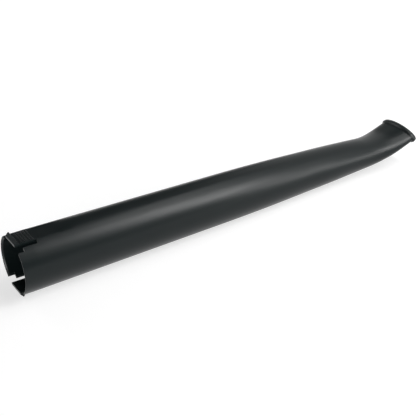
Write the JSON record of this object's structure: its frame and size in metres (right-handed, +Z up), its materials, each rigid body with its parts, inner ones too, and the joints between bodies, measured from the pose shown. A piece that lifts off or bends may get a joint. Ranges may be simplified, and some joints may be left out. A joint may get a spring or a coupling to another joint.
{
  "type": "leaf blower nozzle tube",
  "caption": "Tapered black plastic blower tube, round with snap tongues at the inlet, bent up at the far end into a wide oval outlet with a raised lip.",
  "frame": {"origin": "centre of the inlet mouth, in the plane of the inlet's end face", "axes": "+X along the tube from the inlet to the outlet, +Z up with the tube at rest, +Y across the tube to complete the right-handed set"},
  "size_m": [0.5882, 0.072, 0.0746],
  "materials": {
    "black_plastic": "satin moulded plastic with a fine grain"
  },
  "bodies": {
    "root": {"nozzle_tube": "black_plastic"}
  },
  "joints": []
}
